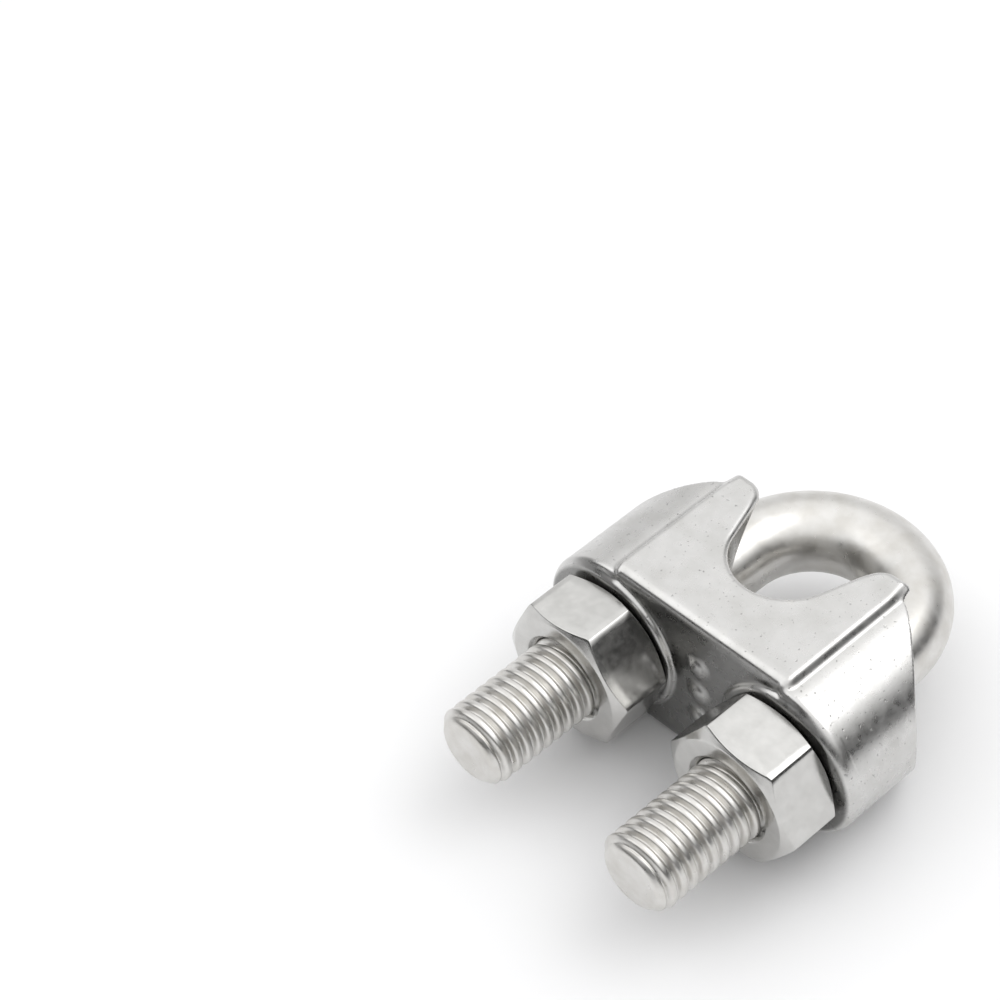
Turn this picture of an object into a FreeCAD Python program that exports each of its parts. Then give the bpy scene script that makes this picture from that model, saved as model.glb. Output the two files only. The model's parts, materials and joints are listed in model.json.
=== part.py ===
import FreeCAD, Part
import os

from FreeCAD import Placement, Rotation, Vector

# Wire rope clip for a 10 mm rope: a U-bolt, a cast saddle and two hexagon nuts.
#
# Frame, in millimetres: the clip lies on one flat face of the saddle. X runs from leg to leg, Y runs along
# the legs from the stud ends (-Y) to the bow (+Y), and Z is up, along the rope. The origin is on the resting
# plane, under the middle of the clip. Both legs lie in the plane at half the saddle's thickness.
#
# The "bow axis" is the vertical line through the centre of the half-round bow. Most lengths along Y are
# measured from it, towards the nuts.

SHEET_CELLS = [
    # U-bolt
    ("overall_length", 46.0),        # stud ends to the outside of the bow
    ("leg_spacing", 20.0),           # between the two leg axes
    ("rod_diameter", 7.5),           # plain rod
    ("thread_diameter", 7.9),        # over the crests of the M8 thread
    ("thread_length", 21.0),
    ("tip_chamfer", 0.9),
    ("bow_radius", 9.0),             # centre line of the bow, whose inside takes the rope
    ("bend_angle", 12.7),            # degrees of each of the two bends that draw a leg in to the bow
    # saddle
    ("saddle_thickness", 18.0),      # along the rope
    ("block_half_width", 10.3),      # the flat faces end here, above and below the legs
    ("front_face", 14.75),           # nut side of the block, from the bow axis
    ("seat_height", 0.45),           # the nut seats stand this far out of the front face
    ("rim_radius", 7.6),             # round boss that carries the nut seat
    ("rim_shift", 0.6),              # boss axis, outwards from the leg axis
    ("rim_thickness", 1.2),
    ("shell_radius", 8.3),           # half-round shell round each leg
    ("shell_overlap", 0.6),          # how far each shell runs into the block
    ("leg_hole_diameter", 9.2),
    ("rope_seat_radius", 5.3),
    ("rope_seat_drop", 3.0),         # axis of the rope seat, from the bow axis
    ("mouth_flare", 18.0),           # degrees that each side of the valley opens by
    ("horn_reach", 1.7),             # horn tips, past the bow axis
    ("horn_round", 1.1),             # corners of the horns, seen along the rope
    ("scallop_radius", 8.2),         # hollow across the horns that clears the bow
    ("scallop_shift", 1.7),          # axis of that hollow, past the bow axis
    ("pip_ball_radius", 1.6),        # three raised casting pips in a column between the nuts
    ("pip_height", 0.4),
    ("pip_pitch", 3.4),
    ("edge_round", 0.6),             # cast edges of both flat faces
    # nuts
    ("nut_across_flats", 13.0),
    ("nut_height", 6.3),
    ("nut_face_ratio", 0.95),        # flat ring of a nut's face, as a share of the width across flats
    ("nut_chamfer_angle", 30.0),
    ("countersink_depth", 0.5),
    ("thread_clearance", 0.05),      # nut to stud, on the radius
    ("nut_gap", 0.1),                # nut to its seat
]

# How far each hexagon is turned at rest: the angle of one corner about its leg, from +X towards +Z.
NUT_TURNS = {"hex_nut_right": 52.0, "hex_nut_left": 66.0}
NUT_SIDES = {"hex_nut_right": 1, "hex_nut_left": -1}

AXIS_X = Vector(1, 0, 0)
AXIS_Y = Vector(0, 1, 0)
AXIS_Z = Vector(0, 0, 1)
Z_TO_Y = Rotation(AXIS_X, -90)
Z_TO_X = Rotation(AXIS_Y, 90)
OVERCUT = 2.0                        # how far a cutting tool runs past what it cuts
TOLERANCE = 1e-4

doc = FreeCAD.newDocument("WireRopeClip")
sheet = doc.addObject("Spreadsheet::Sheet", "Dimensions")
for row, (alias, value) in enumerate(SHEET_CELLS, start=1):
    sheet.set("A%d" % row, alias)
    sheet.set("B%d" % row, str(value))
    sheet.setAlias("B%d" % row, alias)
doc.recompute()


def size(alias):
    """A sheet value as a plain number, for what an expression can't reach."""
    return float(sheet.get(alias))


def dim(formula):
    """Turns '{rod_diameter} / 2' into an expression that reads the sheet."""
    return formula.format(**{alias: "Dimensions.%s" % alias for alias, _ in SHEET_CELLS})


# Places along Y and Z that several pieces share, as formulas.
MID_Z = "({saddle_thickness} / 2)"
BOW_Y = "({overall_length} / 2 - {bow_radius} - {rod_diameter} / 2)"
STUD_END_Y = "(-{overall_length} / 2)"
FRONT_Y = "(" + BOW_Y + " - {front_face})"
SEAT_Y = "(" + FRONT_Y + " - {seat_height})"
HORN_Y = "(" + BOW_Y + " + {horn_reach})"


def primitive(kind, name, rotation, place, **sizes):
    """A Part primitive with its place and every size bound to the sheet."""
    item = doc.addObject(kind, name)
    item.Placement = Placement(Vector(0, 0, 0), rotation)
    for axis, formula in zip("xyz", place):
        item.setExpression("Placement.Base.%s" % axis, dim(formula))
    for name_of_size, formula in sizes.items():
        item.setExpression(name_of_size, dim(formula))
    return item


def combined(kind, name, shapes):
    """Part::MultiFuse or Part::MultiCommon of several objects."""
    item = doc.addObject(kind, name)
    item.Shapes = shapes
    item.Refine = kind == "Part::MultiFuse"
    return item


def cut(name, base, tool):
    item = doc.addObject("Part::Cut", name)
    item.Base = base
    item.Tool = tool
    item.Refine = True
    return item


def rounded(name, base, radius_alias, is_wanted):
    """Fillet of every edge of the base that passes the test."""
    doc.recompute()
    item = doc.addObject("Part::Fillet", name)
    item.Base = base
    radius = size(radius_alias)
    numbers = [n for n, edge in enumerate(base.Shape.Edges, start=1) if is_wanted(edge)]
    item.Edges = [(n, radius, radius) for n in numbers]
    return item


# ---------------------------------------------------------------- U-bolt

INSET = "({leg_spacing} / 2 - {bow_radius})"
BEND_RADIUS = "(" + INSET + " / (2 * (1 - cos({bend_angle}))))"
LEG_TOP_Y = "(" + BOW_Y + " - 2 * " + BEND_RADIUS + " * sin({bend_angle}))"

# A torus segment starts on its local +X axis and runs towards its local +Y.
BEND_ROTATIONS = {
    1: (Rotation(), Rotation(AXIS_Z, 180)),
    -1: (Rotation(AXIS_Y, 180), Rotation(AXIS_X, 180)),
}


def bolt_side(side):
    """Leg, thread, tip and the two draw-in bends on the side at +X (1) or at -X (-1)."""
    tag = "Right" if side > 0 else "Left"
    leg_x = "%d * {leg_spacing} / 2" % side
    lower_rotation, upper_rotation = BEND_ROTATIONS[side]
    start_y = STUD_END_Y + " + {tip_chamfer}"
    leg = primitive(
        "Part::Cylinder", "Leg" + tag, Z_TO_Y, (leg_x, start_y, MID_Z),
        Radius="{rod_diameter} / 2", Height=LEG_TOP_Y + " - " + STUD_END_Y + " - {tip_chamfer}",
    )
    thread = primitive(
        "Part::Cylinder", "Thread" + tag, Z_TO_Y, (leg_x, start_y, MID_Z),
        Radius="{thread_diameter} / 2", Height="{thread_length} - {tip_chamfer}",
    )
    tip = primitive(
        "Part::Cone", "Tip" + tag, Z_TO_Y, (leg_x, STUD_END_Y, MID_Z),
        Radius1="{thread_diameter} / 2 - {tip_chamfer}", Radius2="{thread_diameter} / 2",
        Height="{tip_chamfer}",
    )
    lower = primitive(
        "Part::Torus", "LowerBend" + tag, lower_rotation,
        ("%d * ({leg_spacing} / 2 - " % side + BEND_RADIUS + ")", LEG_TOP_Y, MID_Z),
        Radius1=BEND_RADIUS, Radius2="{rod_diameter} / 2", Angle3="{bend_angle}",
    )
    upper = primitive(
        "Part::Torus", "UpperBend" + tag, upper_rotation,
        ("%d * ({bow_radius} + " % side + BEND_RADIUS + ")", BOW_Y, MID_Z),
        Radius1=BEND_RADIUS, Radius2="{rod_diameter} / 2", Angle3="{bend_angle}",
    )
    return [leg, thread, tip, lower, upper]


bow = primitive(
    "Part::Torus", "Bow", Rotation(), ("0", BOW_Y, MID_Z),
    Radius1="{bow_radius}", Radius2="{rod_diameter} / 2", Angle3="180",
)
u_bolt = combined("Part::MultiFuse", "UBolt", [bow] + bolt_side(1) + bolt_side(-1))
u_bolt.Label = "u_bolt"

# ---------------------------------------------------------------- saddle

# The block is a box with a round valley, whose sides open out, tangent to it, towards the horn tips.
SEAT_AXIS_Y = "(" + BOW_Y + " - {rope_seat_drop})"
TANGENT_Y = "(" + SEAT_AXIS_Y + " - {rope_seat_radius} * sin({mouth_flare}))"
TANGENT_X = "({rope_seat_radius} * cos({mouth_flare}))"
MOUTH_END_Y = "(" + HORN_Y + " + %g)" % OVERCUT
MOUTH_END_X = "(" + TANGENT_X + " + (" + MOUTH_END_Y + " - " + TANGENT_Y + ") * tan({mouth_flare}))"

box = primitive(
    "Part::Box", "BlockBox", Rotation(), ("-{block_half_width}", FRONT_Y, "0"),
    Length="2 * {block_half_width}", Width=HORN_Y + " - " + FRONT_Y, Height="{saddle_thickness}",
)
rope_seat = primitive(
    "Part::Cylinder", "RopeSeat", Rotation(), ("0", SEAT_AXIS_Y, "-%g" % OVERCUT),
    Radius="{rope_seat_radius}", Height="{saddle_thickness} + %g" % (2 * OVERCUT),
)
mouth = primitive(
    "Part::Wedge", "Mouth", Rotation(), ("0", "0", "0"),
    Ymin=TANGENT_Y, Ymax=MOUTH_END_Y,
    Xmin="-" + TANGENT_X, Xmax=TANGENT_X, X2min="-" + MOUTH_END_X, X2max=MOUTH_END_X,
    Zmin="-%g" % OVERCUT, Z2min="-%g" % OVERCUT,
    Zmax="{saddle_thickness} + %g" % OVERCUT, Z2max="{saddle_thickness} + %g" % OVERCUT,
)
block = cut("Block", box, combined("Part::MultiFuse", "Valley", [rope_seat, mouth]))
doc.recompute()
horn_y = box.Placement.Base.y + float(box.Width)
top_z = size("saddle_thickness")


def is_horn_corner(edge):
    """Upright edges at the tips of the horns."""
    bounds = edge.BoundBox
    return bounds.ZLength > top_z - TOLERANCE and abs(bounds.YMin - horn_y) < TOLERANCE


def is_flat_outline(edge):
    """Edges that lie in the top or the bottom plane."""
    bounds = edge.BoundBox
    return bounds.ZLength < TOLERANCE and min(abs(bounds.ZMin), abs(bounds.ZMin - top_z)) < TOLERANCE


horns = rounded("Horns", block, "horn_round", is_horn_corner)
saddle_solids = [rounded("RoundedBlock", horns, "edge_round", is_flat_outline)]

# Each leg has a half-round shell outside the block, a boss with the nut seat, and a hole through both.
inner_half = primitive(
    "Part::Box", "InsideShells", Rotation(),
    ("-{block_half_width} + {shell_overlap}", FRONT_Y + " - %g" % OVERCUT, "-%g" % OVERCUT),
    Length="2 * ({block_half_width} - {shell_overlap})", Width="{overall_length}",
    Height="{saddle_thickness} + %g" % (2 * OVERCUT),
)
shells = []
leg_holes = []
for side in (1, -1):
    tag = "Right" if side > 0 else "Left"
    leg_x = "%d * {leg_spacing} / 2" % side
    shells.append(primitive(
        "Part::Cylinder", "Shell" + tag, Z_TO_Y, (leg_x, FRONT_Y, MID_Z),
        Radius="{shell_radius}", Height=HORN_Y + " - " + FRONT_Y,
    ))
    saddle_solids.append(primitive(
        "Part::Cylinder", "Rim" + tag, Z_TO_Y, (leg_x + " + %d * {rim_shift}" % side, SEAT_Y, MID_Z),
        Radius="{rim_radius}", Height="{rim_thickness}",
    ))
    leg_holes.append(primitive(
        "Part::Cylinder", "LegHole" + tag, Z_TO_Y, (leg_x, SEAT_Y + " - %g" % OVERCUT, MID_Z),
        Radius="{leg_hole_diameter} / 2", Height="{overall_length}",
    ))
saddle_solids.append(cut("Shells", combined("Part::MultiFuse", "ShellPair", shells), inner_half))

for number in (-1, 0, 1):
    saddle_solids.append(primitive(
        "Part::Sphere", "Pip%d" % (number + 2), Rotation(),
        ("0", FRONT_Y + " + {pip_ball_radius} - {pip_height}", MID_Z + " + %d * {pip_pitch}" % number),
        Radius="{pip_ball_radius}",
    ))

# A round hollow across all four horns keeps them clear of the bow.
scallop = primitive(
    "Part::Cylinder", "Scallop", Z_TO_X, ("-{overall_length} / 2", BOW_Y + " + {scallop_shift}", MID_Z),
    Radius="{scallop_radius}", Height="{overall_length}",
)
saddle = cut(
    "Saddle",
    combined("Part::MultiFuse", "SaddleSolid", saddle_solids),
    combined("Part::MultiFuse", "SaddleHoles", leg_holes + [scallop]),
)
saddle.Label = "saddle"

# ---------------------------------------------------------------- nuts

NUT_OUTER_Y = "(" + SEAT_Y + " - {nut_gap} - {nut_height})"
NUT_INNER_Y = "(" + SEAT_Y + " - {nut_gap})"
FACE_RADIUS = "({nut_face_ratio} * {nut_across_flats} / 2)"
BORE_RADIUS = "({thread_diameter} / 2 + {thread_clearance})"
CONE_SPREAD = "({nut_height} / tan({nut_chamfer_angle}))"
Z_TO_MINUS_Y = Rotation(AXIS_X, 90)


def hex_nut(label):
    """Hexagon with both faces chamfered, and a bore that is countersunk at both ends."""
    tag = label.title().replace("_", "")
    nut_x = "%d * {leg_spacing} / 2" % NUT_SIDES[label]
    turned = Z_TO_Y.multiply(Rotation(AXIS_Z, -NUT_TURNS[label]))
    prism = primitive(
        "Part::Prism", tag + "Prism", turned, (nut_x, NUT_OUTER_Y, MID_Z),
        Circumradius="{nut_across_flats} / (2 * cos(30))", Height="{nut_height}",
    )
    prism.Polygon = 6
    ends = ((Z_TO_Y, NUT_OUTER_Y), (Z_TO_MINUS_Y, NUT_INNER_Y))
    cones = [
        primitive(
            "Part::Cone", tag + "Chamfer%d" % number, rotation, (nut_x, end_y, MID_Z),
            Radius1=FACE_RADIUS, Radius2=FACE_RADIUS + " + " + CONE_SPREAD, Height="{nut_height}",
        )
        for number, (rotation, end_y) in enumerate(ends, start=1)
    ]
    bore = primitive(
        "Part::Cylinder", tag + "Bore", Z_TO_Y, (nut_x, NUT_OUTER_Y + " - %g" % OVERCUT, MID_Z),
        Radius=BORE_RADIUS, Height="{nut_height} + %g" % (2 * OVERCUT),
    )
    sinks = [
        primitive(
            "Part::Cone", tag + "Sink%d" % number, rotation, (nut_x, end_y, MID_Z),
            Radius1=BORE_RADIUS + " + {countersink_depth}", Radius2=BORE_RADIUS,
            Height="{countersink_depth}",
        )
        for number, (rotation, end_y) in enumerate(ends, start=1)
    ]
    blank = combined("Part::MultiCommon", tag + "Blank", [prism] + cones)
    tool = combined("Part::MultiFuse", tag + "Tool", [bore] + sinks)
    nut = cut(tag, blank, tool)
    nut.Label = label
    return nut


nuts = [hex_nut(label) for label in NUT_TURNS]
doc.recompute()

# ---------------------------------------------------------------- check and write

for item in doc.Objects:
    if "Invalid" in item.State or "Error" in item.State:
        raise RuntimeError("%s failed: %s" % (item.Name, item.State))

os.makedirs("parts", exist_ok=True)
for item in [u_bolt, saddle] + nuts:
    shape = item.Shape
    if shape.isNull() or not shape.isValid() or len(shape.Solids) != 1:
        raise RuntimeError("%s is not one valid solid" % item.Label)
    print("%-14s volume %8.1f mm3, box %s" % (item.Label, shape.Volume, shape.BoundBox))
    shape.exportStep("parts/%s.step" % item.Label)
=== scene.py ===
import json
import math

import bpy
import numpy as np
from mathutils import Matrix, Vector


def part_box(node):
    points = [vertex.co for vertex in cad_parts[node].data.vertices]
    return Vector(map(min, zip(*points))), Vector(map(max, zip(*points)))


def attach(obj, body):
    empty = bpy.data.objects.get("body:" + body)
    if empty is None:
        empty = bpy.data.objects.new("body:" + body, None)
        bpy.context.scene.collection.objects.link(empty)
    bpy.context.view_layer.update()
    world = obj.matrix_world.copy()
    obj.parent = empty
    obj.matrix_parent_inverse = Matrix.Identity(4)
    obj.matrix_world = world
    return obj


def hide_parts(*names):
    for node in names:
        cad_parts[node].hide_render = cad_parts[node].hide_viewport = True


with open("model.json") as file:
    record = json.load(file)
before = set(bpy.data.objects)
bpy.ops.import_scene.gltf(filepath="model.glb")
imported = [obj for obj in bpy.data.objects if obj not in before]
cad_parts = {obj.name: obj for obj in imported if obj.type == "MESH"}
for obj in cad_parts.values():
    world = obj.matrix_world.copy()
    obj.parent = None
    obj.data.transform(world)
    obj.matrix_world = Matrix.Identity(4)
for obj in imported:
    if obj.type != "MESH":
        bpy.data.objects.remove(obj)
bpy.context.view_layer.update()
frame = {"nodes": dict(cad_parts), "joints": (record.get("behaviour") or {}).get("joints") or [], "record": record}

# The looks of a wire rope clip: a U-bolt with rolled threads, a cast saddle and two hexagon nuts.
# Frame, in metres: X from leg to leg, Y along the legs from the stud ends to the bow, Z up, along the rope.

MM = 0.001

# ---------------------------------------------------------------- sizes, shared with the CAD nodes

JOINTS = {joint["name"]: joint for joint in frame["joints"]}
LEG_X = JOINTS["nut_right_turn"]["pos_m"][0]
MID_Z = JOINTS["nut_right_turn"]["pos_m"][2]
BOLT_LOW, BOLT_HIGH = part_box("u_bolt")
THREAD_RADIUS = BOLT_HIGH.x - LEG_X
STUD_END_Y = BOLT_LOW.y
ROD_RADIUS = 3.75 * MM
BOLT_REACH = 33.25 * MM                     # from the stud ends to the centre of the bow
BOW_Y = STUD_END_Y + BOLT_REACH
BOW_RADIUS = BOLT_HIGH.y - BOW_Y - ROD_RADIUS     # centre line of the bow
BEND_ANGLE = math.radians(12.7)             # each of the two bends that draw a leg in to the bow
BEND_RADIUS = (LEG_X - BOW_RADIUS) / (2 * (1 - math.cos(BEND_ANGLE)))
LEG_TOP_Y = BOW_Y - 2 * BEND_RADIUS * math.sin(BEND_ANGLE)
THREAD_LENGTH = 21.0 * MM
RUN_OUT_TURNS = 1.5
PITCH = 2 * math.pi / frame["record"]["behaviour"]["couplings"][0]["ratio"]
THREAD_DEPTH = 0.58 * MM
TIP_LENGTH = 0.9 * MM
TIP_RADIUS = THREAD_RADIUS - TIP_LENGTH
TIP_ROUND_LENGTH = 0.18 * MM
TIP_ROUND_DEPTH = 0.108 * MM
NUT_FLATS = 13.0 * MM
NUT_FACE_RADIUS = 0.95 * NUT_FLATS / 2
NUT_CHAMFER = math.radians(30)
NUT_CORNER_WEAR = 0.09 * MM                 # how much shorter a corner is than a sharp one
NUT_EDGE_ROUND = 0.2 * MM
NUT_EDGE_ANGLE = 24                         # degrees between faces, above which an edge is rounded
COUNTERSINK = 0.5 * MM
THREAD_CLEARANCE = 0.05 * MM

# How finely the round pieces are divided.
ROD_COLUMNS = 96
NUT_COLUMNS = 144
STUD_STEPS_PER_PITCH = 16
BORE_STEPS_PER_PITCH = 14
BEND_STEPS = 8
BOW_STEPS = 49
END_FACE_SHARES = (0.93, 0.6, 0.25, 0.02)   # rings that close a stud's end face, as shares of its radius
NUT_FACE_SHARES = (0.0, 0.35, 0.7, 1.0)     # from the countersink out to the chamfer
CHAMFER_SHARES = (0.25, 0.5, 0.75, 1.0)     # from the face down the chamfer
FLAT_SHARES = (0.2, 0.4, 0.6, 0.8)          # from chamfer to chamfer


# ---------------------------------------------------------------- mesh helpers

def mesh_object(name, vertices, faces):
    """A smooth-shaded object from an array of vertices and a list of faces."""
    mesh = bpy.data.meshes.new(name)
    mesh.from_pydata([tuple(v) for v in vertices], [], faces)
    mesh.validate()
    mesh.update()
    mesh.shade_smooth()
    thing = bpy.data.objects.new(name, mesh)
    bpy.context.scene.collection.objects.link(thing)
    return thing


def grid_faces(rows, columns, closed_rows):
    """Quads of a grid whose columns wrap round, and whose rows also do if closed_rows is true."""
    faces = []
    for row in range(rows if closed_rows else rows - 1):
        here, there = row * columns, (row + 1) % rows * columns
        for column in range(columns):
            after = (column + 1) % columns
            faces.append((here + column, here + after, there + after, there + column))
    return faces


def smooth_step(low, high, value):
    """0 at low and 1 at high, with a smooth start and end."""
    t = np.clip((value - low) / (high - low), 0, 1)
    return t * t * (3 - 2 * t)


def thread_height(y, turn):
    """0 in the root and 1 on the crest of a right-hand thread. turn is the angle from +Z towards +X."""
    phase = (y / PITCH - turn / (2 * math.pi)) % 1.0
    ridge = 1 - np.abs(2 * phase - 1)
    flat_crest_from = 0.9
    return np.sin(smooth_step(0.0, flat_crest_from, ridge) * math.pi / 2)


# ---------------------------------------------------------------- U-bolt

def bolt_centre_line():
    """Stations along half of the bolt, from the stud end to the middle of the bow: (x, y, heading)."""
    straight = LEG_TOP_Y - STUD_END_Y
    ys = STUD_END_Y + np.linspace(0, straight, round(straight / PITCH * STUD_STEPS_PER_PITCH))
    stations = [(LEG_X, y, 0.0) for y in ys]
    for angle in np.linspace(0, BEND_ANGLE, BEND_STEPS)[1:]:
        x = LEG_X - BEND_RADIUS * (1 - math.cos(angle))
        stations.append((x, LEG_TOP_Y + BEND_RADIUS * math.sin(angle), angle))
    for angle in np.linspace(BEND_ANGLE, 0, BEND_STEPS)[1:]:
        x = BOW_RADIUS + BEND_RADIUS * (1 - math.cos(angle))
        stations.append((x, BOW_Y - BEND_RADIUS * math.sin(angle), angle))
    for angle in np.linspace(0, math.pi / 2, BOW_STEPS)[1:]:
        stations.append((BOW_RADIUS * math.cos(angle), BOW_Y + BOW_RADIUS * math.sin(angle), angle))
    return stations


def tip_limit(y):
    """Largest radius allowed near a stud end: a small round, a chamfer, then the full thread."""
    depth = y - STUD_END_Y
    in_round = np.clip(1 - depth / TIP_ROUND_LENGTH, 0, 1)
    return TIP_RADIUS + depth - TIP_ROUND_DEPTH * in_round ** 2


def bolt_radius(y, turn):
    """Radius over the thread, the run-out and the plain rod of one leg."""
    thread_end = STUD_END_Y + THREAD_LENGTH
    run_out = smooth_step(thread_end, thread_end - RUN_OUT_TURNS * PITCH, y)
    crest = ROD_RADIUS + (THREAD_RADIUS - ROD_RADIUS) * run_out
    cut = THREAD_DEPTH * run_out * (1 - thread_height(y, turn))
    return np.minimum(crest - cut, tip_limit(y))


def bolt_ring(side, station, around):
    """The points of one section of the bolt. side is 1 on the right leg and -1 on the left."""
    x, y, heading = station
    outward = np.array([side * math.cos(heading), math.sin(heading), 0.0])
    turn = math.pi / 2 - around if side > 0 else around - math.pi / 2
    radius = bolt_radius(np.full(ROD_COLUMNS, y), turn)
    if y > LEG_TOP_Y:
        radius = np.full(ROD_COLUMNS, ROD_RADIUS)
    ring = np.array([side * x, y, MID_Z]) + radius[:, None] * np.cos(around)[:, None] * outward
    ring[:, 2] += radius * np.sin(around)
    return ring


def end_face(ring):
    """Smaller and smaller rings that close a stud's flat end."""
    middle = ring.mean(axis=0)
    return [middle + (ring - middle) * share for share in END_FACE_SHARES]


def make_u_bolt():
    """The whole U-bolt as one tube of sections, from the right stud's end round the bow to the left's."""
    around = np.arange(ROD_COLUMNS) * 2 * math.pi / ROD_COLUMNS
    half = bolt_centre_line()
    rings = [bolt_ring(1, station, around) for station in half]
    rings += [bolt_ring(-1, station, around) for station in half[-2::-1]]
    rings = end_face(rings[0])[::-1] + rings + end_face(rings[-1])
    faces = grid_faces(len(rings), ROD_COLUMNS, False)
    last = (len(rings) - 1) * ROD_COLUMNS
    faces.append(tuple(range(ROD_COLUMNS))[::-1])
    faces.append(tuple(last + n for n in range(ROD_COLUMNS)))
    bolt = mesh_object("u_bolt_threaded", np.concatenate(rings), faces)
    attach(bolt, "u_bolt")
    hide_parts("u_bolt")
    return bolt


# ---------------------------------------------------------------- nuts

def nut_profile(y_outer, y_inner, corner_turn, turns):
    """Rows of a nut, as (radius, y) arrays over all turns, round the section from bore to flats."""
    sixth = math.pi / 3
    from_flat = (turns - corner_turn) % sixth - sixth / 2
    hexagon = NUT_FLATS / 2 / np.cos(from_flat)
    hexagon = np.minimum(hexagon, NUT_FLATS / math.sqrt(3) - NUT_CORNER_WEAR)
    chamfer = (hexagon - NUT_FACE_RADIUS) * math.tan(NUT_CHAMFER)
    sink = THREAD_RADIUS + THREAD_CLEARANCE + COUNTERSINK
    rows = []
    for share in NUT_FACE_SHARES:
        rows.append((sink + (NUT_FACE_RADIUS - sink) * share, y_outer))
    for share in CHAMFER_SHARES:
        rows.append((NUT_FACE_RADIUS + (hexagon - NUT_FACE_RADIUS) * share, y_outer + chamfer * share))
    for share in FLAT_SHARES:
        rows.append((hexagon, y_outer + chamfer + (y_inner - y_outer - 2 * chamfer) * share))
    for share in CHAMFER_SHARES[::-1]:
        rows.append((NUT_FACE_RADIUS + (hexagon - NUT_FACE_RADIUS) * share, y_inner - chamfer * share))
    for share in NUT_FACE_SHARES[::-1]:
        rows.append((sink + (NUT_FACE_RADIUS - sink) * share, y_inner))
    steps = round((y_inner - y_outer) / PITCH * BORE_STEPS_PER_PITCH)
    for y in np.linspace(y_inner, y_outer, steps)[1:-1]:
        groove = THREAD_RADIUS - THREAD_DEPTH * (1 - thread_height(y, turns))
        from_end = min(y - y_outer, y_inner - y)
        rows.append((np.maximum(groove + THREAD_CLEARANCE, sink - from_end), y))
    return rows


def corner_turn_of(node, axis_x):
    """The angle about a nut's axis, from +Z towards +X, at which its CAD node has a corner."""
    vertices = np.array([v.co for v in frame["nodes"][node].data.vertices])
    offset = vertices - np.array([axis_x, 0, MID_Z])
    farthest = offset[np.argmax(np.hypot(offset[:, 0], offset[:, 2]))]
    return math.atan2(farthest[0], farthest[2])


def make_nut(node, body):
    """A hexagon nut with its thread, turned as its CAD node is."""
    low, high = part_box(node)
    axis_x = JOINTS[body + "_turn"]["pos_m"][0]
    corner_turn = corner_turn_of(node, axis_x)
    turns = corner_turn + np.arange(NUT_COLUMNS) * 2 * math.pi / NUT_COLUMNS
    rings = []
    for radius, y in nut_profile(low.y, high.y, corner_turn, turns):
        ring = np.empty((NUT_COLUMNS, 3))
        ring[:, 0] = axis_x + radius * np.sin(turns)
        ring[:, 1] = y
        ring[:, 2] = MID_Z + radius * np.cos(turns)
        rings.append(ring)
    nut = mesh_object(node + "_threaded", np.concatenate(rings), grid_faces(len(rings), NUT_COLUMNS, True))
    soften_edges(nut, NUT_EDGE_ROUND, NUT_EDGE_ANGLE)
    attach(nut, body)
    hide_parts(node)
    return nut


def soften_edges(thing, width, angle):
    """Rounds the edges that are sharper than an angle in degrees."""
    bevel = thing.modifiers.new("SoftEdges", "BEVEL")
    bevel.width = width
    bevel.segments = 3
    bevel.limit_method = "ANGLE"
    bevel.angle_limit = math.radians(angle)
    bevel.harden_normals = False


# ---------------------------------------------------------------- saddle

SADDLE_LOW, SADDLE_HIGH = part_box("saddle")
ROPE_SEAT = next(mount for mount in frame["record"]["mounts"] if mount["name"] == "rope_seat")
SEAT_RADIUS = ROPE_SEAT["dims"]["r_mm"] * MM
SEAT_AXIS_Y = ROPE_SEAT["pos_m"][1]
MOUTH_FLARE = math.radians(18)
BLOCK_HALF_WIDTH = 10.3 * MM
HALF_THICKNESS = MID_Z                      # the casting rests on the floor
RIM_RADIUS = 7.6 * MM
RIM_SHIFT = 0.6 * MM
RIM_THICKNESS = 1.2 * MM
SHELL_RADIUS = 8.3 * MM
SHELL_OVERLAP = 0.6 * MM
LEG_HOLE_RADIUS = 4.6 * MM
NUT_SEAT_HEIGHT = 0.45 * MM
SCALLOP_RADIUS = 8.2 * MM
SCALLOP_SHIFT = 1.7 * MM
PIP_RADIUS = 1.6 * MM
PIP_HEIGHT = 0.4 * MM
PIP_PITCH = 3.4 * MM
FRONT_Y = SADDLE_LOW.y + NUT_SEAT_HEIGHT
HORN_Y = SADDLE_HIGH.y

# Radii of the casting's rounded edges and inside corners.
HORN_CORNER_ROUND = 0.7 * MM
VALLEY_ROUND = 1.5 * MM
TOP_ROUND = 0.6 * MM
HORN_TOP_ROUND = 1.1 * MM
HORN_LENGTH = 3 * MM                        # over which the top edge grows rounder towards a tip
FRONT_ROUND = 1.4 * MM
SHELL_COVE = 0.5 * MM
END_ROUND = 0.5 * MM
RIM_ROUND = 0.6 * MM
SMALL_COVE = 0.35 * MM
HOLE_ROUND = 0.3 * MM
SCALLOP_ROUND = 0.4 * MM
CELL = 0.2 * MM                             # size of the cells that the casting's mesh is made from


def joined(a, b, fillet):
    """Distance to two solids together, with a round fillet in the corner between them."""
    corner = np.hypot(np.maximum(fillet - a, 0), np.maximum(fillet - b, 0))
    return np.maximum(fillet, np.minimum(a, b)) - corner


def common(a, b, round_over):
    """Distance to what two solids share, with the edge between them rounded."""
    corner = np.hypot(np.maximum(round_over + a, 0), np.maximum(round_over + b, 0))
    return np.minimum(-round_over, np.maximum(a, b)) + corner


def valley_distance(x, y):
    """Distance outside the rope's round seat and its flared mouth, seen along the rope."""
    up = y - SEAT_AXIS_Y
    along = x * math.sin(MOUTH_FLARE) + up * math.cos(MOUTH_FLARE)
    across = x * math.cos(MOUTH_FLARE) - up * math.sin(MOUTH_FLARE)
    return np.where(along > 0, across, np.hypot(x, up)) - SEAT_RADIUS


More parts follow.
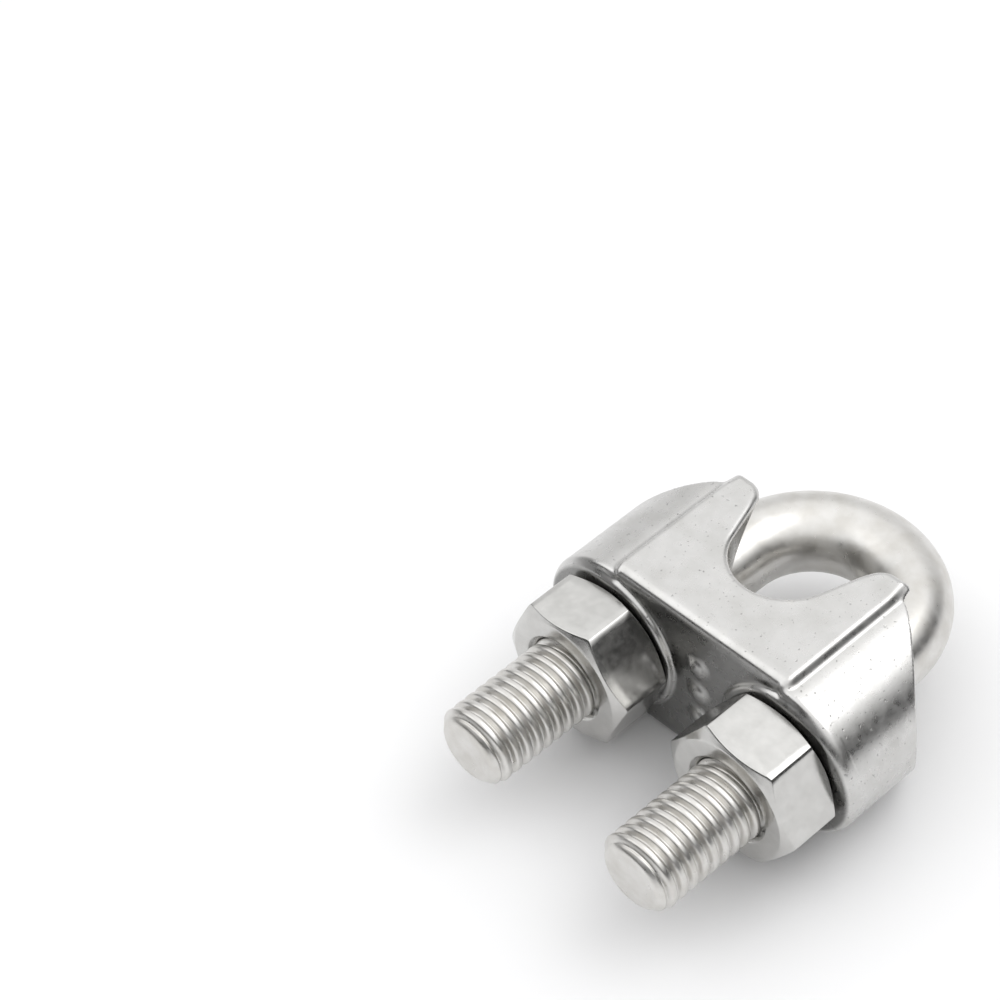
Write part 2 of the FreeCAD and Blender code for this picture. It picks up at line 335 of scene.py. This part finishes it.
def block_distance(x, y, z):
    """The block between the legs, with its horns either side of the valley."""
    outline = common(x - BLOCK_HALF_WIDTH, y - HORN_Y, HORN_CORNER_ROUND)
    outline = common(outline, -valley_distance(x, y), VALLEY_ROUND)
    rounder = smooth_step(HORN_Y - HORN_LENGTH, HORN_Y, y)
    block = common(outline, z - HALF_THICKNESS, TOP_ROUND + (HORN_TOP_ROUND - TOP_ROUND) * rounder)
    return common(block, FRONT_Y - y, FRONT_ROUND)


def shell_distance(x, z):
    """The shell round a leg, cut off just inside the block's side."""
    shell = np.hypot(x - LEG_X, z) - SHELL_RADIUS
    return np.maximum(shell, BLOCK_HALF_WIDTH - SHELL_OVERLAP - x)


def rim_distance(x, y, z):
    """The low boss that carries a nut's seat."""
    rim = np.hypot(x - LEG_X - RIM_SHIFT, z) - RIM_RADIUS
    rim = common(rim, SADDLE_LOW.y - y, RIM_ROUND)
    return np.maximum(rim, y - SADDLE_LOW.y - RIM_THICKNESS)


def pip_distance(x, y, z):
    """A shallow dome on the front face, part of a ball that lies mostly inside the block."""
    return np.sqrt(x ** 2 + (y - FRONT_Y - PIP_RADIUS + PIP_HEIGHT) ** 2 + z ** 2) - PIP_RADIUS


def saddle_distance(x, y, z):
    """Signed distance to the whole casting, negative inside. It is the same in all four quarters."""
    x = np.abs(x)
    z = np.abs(z - MID_Z)
    solid = joined(block_distance(x, y, z), shell_distance(x, z), SHELL_COVE)
    solid = common(solid, y - HORN_Y, END_ROUND)
    solid = common(solid, FRONT_Y - y, END_ROUND)
    solid = joined(solid, rim_distance(x, y, z), SMALL_COVE)
    for height in (0, PIP_PITCH):
        solid = joined(solid, pip_distance(x, y, z - height), SMALL_COVE)
    solid = common(solid, LEG_HOLE_RADIUS - np.hypot(x - LEG_X, z), HOLE_ROUND)
    scallop = SCALLOP_RADIUS - np.hypot(y - BOW_Y - SCALLOP_SHIFT, z)
    solid = common(solid, scallop, SCALLOP_ROUND)
    return np.maximum(solid, x - SADDLE_HIGH.x)


def numbered_cells(inside):
    """Numbers the cells with corners on both sides of the surface. The others hold -1."""
    shape = np.array(inside.shape) - 1
    total = np.zeros(shape, int)
    for i, j, k in np.ndindex(2, 2, 2):
        total += inside[i:shape[0] + i, j:shape[1] + j, k:shape[2] + k]
    mixed = (total > 0) & (total < 8)
    number = np.full(shape, -1)
    number[mixed] = np.arange(mixed.sum())
    return number


def quads_across(inside, number, axis):
    """A quad round each grid edge along one axis that the surface crosses, wound to face outwards."""
    u, v = (axis + 1) % 3, (axis + 2) % 3
    first = np.take(inside, range(number.shape[axis]), axis)
    second = np.take(inside, range(1, number.shape[axis] + 1), axis)
    crossed = np.argwhere(first != second)
    outwards = first[tuple(crossed.T)]
    ring = []
    for du, dv in ((0, 0), (-1, 0), (-1, -1), (0, -1)):
        cell = crossed.copy()
        cell[:, u] += du
        cell[:, v] += dv
        ring.append(number[tuple(cell.T)])
    ring = np.array(ring).T
    return np.where(outwards[:, None], ring, ring[:, ::-1])


def surface_of(field, low, high, step):
    """Vertices and quads of the surface where a field is 0, with one vertex in each cell it crosses."""
    axes = [np.arange(low[n] - 2 * step, high[n] + 3 * step, step) for n in range(3)]
    inside = field(*np.meshgrid(*axes, indexing="ij")) < 0
    number = numbered_cells(inside)
    start = np.array([axis[0] for axis in axes])
    points = start + (np.argwhere(number >= 0) + 0.5) * step
    quads = np.concatenate([quads_across(inside, number, axis) for axis in range(3)])
    points = settled(field, points, step)
    evening_rounds = 2
    for _ in range(evening_rounds):
        points = settled(field, evened(points, quads), step)
    return np.clip(points, low, high), quads


def slope_of(field, points, step):
    """The field's slope at each point, which is the surface's normal there."""
    reach = step * 0.05
    slope = np.empty_like(points)
    for axis in range(3):
        ahead, behind = points.copy(), points.copy()
        ahead[:, axis] += reach
        behind[:, axis] -= reach
        slope[:, axis] = (field(*ahead.T) - field(*behind.T)) / (2 * reach)
    return slope


def settled(field, points, step):
    """Moves points along the field's slope until they lie on its surface, half a step at most each time."""
    rounds, least_slope_squared = 4, 0.2
    for _ in range(rounds):
        slope = slope_of(field, points, step)
        squared = np.maximum((slope ** 2).sum(axis=1), least_slope_squared)
        move = -(field(*points.T) / squared)[:, None] * slope
        points = points + np.clip(move, -step / 2, step / 2)
    return points


def evened(points, quads):
    """Moves each point half-way to the middle of its neighbours."""
    total = np.zeros_like(points)
    count = np.zeros(len(points))
    for corner in range(4):
        for neighbour in (corner - 1, (corner + 1) % 4):
            count += np.bincount(quads[:, corner], minlength=len(points))
            for axis in range(3):
                values = points[quads[:, neighbour], axis]
                total[:, axis] += np.bincount(quads[:, corner], values, len(points))
    return (points + total / count[:, None]) / 2


def make_saddle():
    """The cast saddle, with every edge as round as casting and tumbling leave it."""
    points, quads = surface_of(saddle_distance, SADDLE_LOW, SADDLE_HIGH, CELL)
    saddle = mesh_object("saddle_casting", points, quads.tolist())
    normals = slope_of(saddle_distance, points, CELL)
    normals /= np.linalg.norm(normals, axis=1)[:, None]
    saddle.data.normals_split_custom_set_from_vertices(normals.tolist())
    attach(saddle, "saddle")
    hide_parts("saddle")
    return saddle


# ---------------------------------------------------------------- materials

def metal(name):
    """A metal material with its node tree and Principled shader."""
    material = bpy.data.materials.new(name)
    material.use_nodes = True
    tree = material.node_tree
    principled = tree.nodes["Principled BSDF"]
    principled.inputs["Metallic"].default_value = 1.0
    return material, tree, principled


def finish(tree, principled, colour, roughness, normal):
    """Links what a metal's surface is made of to its shader."""
    tree.links.new(colour, principled.inputs["Base Color"])
    tree.links.new(roughness, principled.inputs["Roughness"])
    tree.links.new(normal, principled.inputs["Normal"])


def node(tree, kind, **values):
    """A new node with its properties and inputs set by name."""
    made = tree.nodes.new(kind)
    for key, value in values.items():
        if hasattr(made, key):
            setattr(made, key, value)
        else:
            made.inputs[key.replace("_", " ")].default_value = value
    return made


def object_noise(tree, size, detail):
    """Noise whose features are about one size wide, in metres."""
    place = node(tree, "ShaderNodeTexCoord")
    noise = node(tree, "ShaderNodeTexNoise", Scale=1 / size, Detail=detail)
    tree.links.new(place.outputs["Object"], noise.inputs["Vector"])
    return noise.outputs["Fac"]


def ramp(tree, source, stops):
    """Colour ramp from (position, colour) stops; a number stands for a grey."""
    made = tree.nodes.new("ShaderNodeValToRGB")
    points = made.color_ramp.elements
    while len(points) < len(stops):
        points.new(0.5)
    for point, (position, value) in zip(points, stops):
        point.position = position
        point.color = (value, value, value, 1) if isinstance(value, (int, float)) else (*value, 1)
    tree.links.new(source, made.inputs["Fac"])
    return made.outputs["Color"]


def bump(tree, height, strength, distance, below=None):
    """A normal bent by a height, on top of another normal if one is given."""
    made = node(tree, "ShaderNodeBump", Strength=strength, Distance=distance)
    tree.links.new(height, made.inputs["Height"])
    if below is not None:
        tree.links.new(below, made.inputs["Normal"])
    return made.outputs["Normal"]


def blended(tree, kind, first, second, factor=1.0):
    """Two colours put together by a blend type such as MULTIPLY."""
    made = node(tree, "ShaderNodeMix", data_type="RGBA", blend_type=kind)
    made.inputs["Factor"].default_value = factor
    tree.links.new(first, made.inputs["A"])
    tree.links.new(second, made.inputs["B"])
    return made.outputs["Result"]


def facing(tree, coordinate, direction):
    """How far a texture coordinate's direction points along a given one, from -1 to 1."""
    place = tree.nodes.new("ShaderNodeTexCoord")
    dot = node(tree, "ShaderNodeVectorMath", operation="DOT_PRODUCT")
    tree.links.new(place.outputs[coordinate], dot.inputs[0])
    dot.inputs[1].default_value = Vector(direction).normalized()
    return dot.outputs["Value"]


def painted_front_shade(tree, colour):
    """The colour, darkened where the surface faces the nuts: painted shade for the shadowed floor that face
    reflects and for the shadows at the nuts' seats.
    """
    # Painted shade: the colour grows darker the more the surface faces the nuts.
    shade = ramp(tree, facing(tree, "Normal", (0, -1, 0)), [(0.72, 1.0), (0.98, 0.42)])
    return blended(tree, "MULTIPLY", colour, shade)


def cast_steel():
    """Tumbled stainless casting: satin, with a fine grain, scattered small pits and painted shade on the faces
    towards the nuts.
    """
    material, tree, principled = metal("cast_steel_satin")
    pits = ramp(tree, object_noise(tree, 0.34 * MM, 1.0), [(0.22, 0.0), (0.32, 1.0)])
    grain = object_noise(tree, 0.16 * MM, 3.0)
    waves = object_noise(tree, 3.0 * MM, 2.0)
    roughness = ramp(tree, object_noise(tree, 0.9 * MM, 4.0), [(0.3, 0.24), (0.7, 0.36)])
    colour = ramp(tree, object_noise(tree, 2.5 * MM, 5.0), [
        (0.3, (0.57, 0.565, 0.55)), (0.6, (0.635, 0.63, 0.62)), (0.8, (0.66, 0.65, 0.63)),
    ])
    # The painted shade on the faces towards the nuts, multiplied with the darker pits.
    pitted_and_shaded = blended(tree, "MULTIPLY", painted_front_shade(tree, colour), pits, 0.4)
    normal = bump(tree, waves, 0.35, 0.05 * MM)
    normal = bump(tree, pits, 0.4, 0.04 * MM, normal)
    normal = bump(tree, grain, 0.35, 0.012 * MM, normal)
    finish(tree, principled, pitted_and_shaded, roughness, normal)
    return material


def bolt_steel():
    """Polished rod, with slight changes of tint and gloss and a faint unevenness."""
    material, tree, principled = metal("u_bolt_steel_polished")
    colour = ramp(tree, object_noise(tree, 2.0 * MM, 4.0), [
        (0.35, (0.62, 0.605, 0.575)), (0.65, (0.71, 0.70, 0.68)),
    ])
    roughness = ramp(tree, object_noise(tree, 0.7 * MM, 4.0), [(0.3, 0.27), (0.7, 0.38)])
    normal = bump(tree, object_noise(tree, 1.6 * MM, 2.0), 0.15, 0.03 * MM)
    normal = bump(tree, object_noise(tree, 0.14 * MM, 3.0), 0.12, 0.006 * MM, normal)
    finish(tree, principled, colour, roughness, normal)
    return material


def nut_steel():
    """Polished nut, glossier than the rod, with a faint unevenness of its flats."""
    material, tree, principled = metal("nut_steel_polished")
    colour = ramp(tree, object_noise(tree, 1.5 * MM, 4.0), [
        (0.35, (0.56, 0.555, 0.54)), (0.65, (0.62, 0.615, 0.60)),
    ])
    roughness = ramp(tree, object_noise(tree, 0.6 * MM, 4.0), [(0.3, 0.16), (0.7, 0.26)])
    normal = bump(tree, object_noise(tree, 2.2 * MM, 2.0), 0.2, 0.03 * MM)
    normal = bump(tree, object_noise(tree, 0.18 * MM, 3.0), 0.2, 0.006 * MM, normal)
    finish(tree, principled, colour, roughness, normal)
    return material


# ---------------------------------------------------------------- studio

def make_floor():
    """Plain pale table top, larger than the light can show the edge of."""
    half = 2.0
    corners = [(-half, -half, 0), (half, -half, 0), (half, half, 0), (-half, half, 0)]
    floor = mesh_object("floor", corners, [(0, 1, 2, 3)])
    material = bpy.data.materials.new("pale_table")
    material.use_nodes = True
    principled = material.node_tree.nodes["Principled BSDF"]
    principled.inputs["Base Color"].default_value = (0.91, 0.91, 0.915, 1)
    principled.inputs["Roughness"].default_value = 0.6
    principled.inputs["Specular IOR Level"].default_value = 0.2
    floor.data.materials.append(material)


def make_world():
    """A white tent, a brighter window at the front left, a white backdrop, and a dark room low in front."""
    world = bpy.data.worlds.new("studio")
    bpy.context.scene.world = world
    world.use_nodes = True
    tree = world.node_tree
    background = tree.nodes["Background"]
    upwards = facing(tree, "Generated", (0, 0, 1))
    backwards = facing(tree, "Generated", (-0.6, 0.8, 0.0))
    front_left = facing(tree, "Generated", (-0.54, -0.40, 0.74))
    tent = ramp(tree, upwards, [(0.02, 0.01), (0.34, 0.04), (0.62, 0.76), (1.0, 0.8)])
    backdrop = ramp(tree, backwards, [(0.35, 0.0), (0.85, 0.56)])
    window = ramp(tree, front_left, [(0.82, 0.0), (0.95, 1.0)])
    light = blended(tree, "LIGHTEN", blended(tree, "LIGHTEN", tent, backdrop), window)
    tree.links.new(light, background.inputs["Color"])
    background.inputs["Strength"].default_value = 1.56


def area_light(name, place, target, size, power):
    """A soft rectangular lamp aimed at a target."""
    lamp = bpy.data.lights.new(name, "AREA")
    lamp.shape = "RECTANGLE"
    lamp.size, lamp.size_y = size
    lamp.energy = power
    thing = bpy.data.objects.new(name, lamp)
    thing.location = place
    thing.rotation_mode = "QUATERNION"
    thing.rotation_quaternion = (Vector(target) - Vector(place)).to_track_quat("-Z", "Y")
    bpy.context.scene.collection.objects.link(thing)


def make_lights():
    """One large soft key light above the back right."""
    area_light("key", (0.14, 0.17, 0.40), (0, 0, MID_Z), (0.32, 0.28), 0.38)


def make_camera():
    """Perspective camera at the viewing angle. Angles are in degrees, offsets along its own axes."""
    turn, height, roll = (math.radians(a) for a in (50.76, 45.38, -5.89))
    distance, aside, below = 270.6 * MM, 28.1 * MM, -9.3 * MM
    back = Vector((math.sin(turn) * math.cos(height), -math.cos(turn) * math.cos(height), math.sin(height)))
    level = Vector((math.cos(turn), math.sin(turn), 0))
    upright = back.cross(level)
    right = math.cos(roll) * level + math.sin(roll) * upright
    up = back.cross(right)
    aim = Vector((0, BOW_Y, MID_Z))
    camera = bpy.data.objects.new("camera", bpy.data.cameras.new("camera"))
    camera.data.lens = 108
    camera.data.sensor_width = 36
    camera.data.clip_start, camera.data.clip_end = 0.01, 20
    turned = Matrix((right, up, back)).transposed().to_4x4()
    camera.matrix_world = Matrix.Translation(aim + distance * back - aside * right - below * up) @ turned
    bpy.context.scene.collection.objects.link(camera)
    bpy.context.scene.camera = camera


# ---------------------------------------------------------------- scene

bolt = make_u_bolt()
bolt.data.materials.append(bolt_steel())
nut_finish = nut_steel()
for node_name, body_name in (("hex_nut_right", "nut_right"), ("hex_nut_left", "nut_left")):
    make_nut(node_name, body_name).data.materials.append(nut_finish)
saddle = make_saddle()
saddle.data.materials.append(cast_steel())

make_floor()
make_world()
make_lights()
make_camera()
bpy.context.scene.view_settings.view_transform = "Standard"
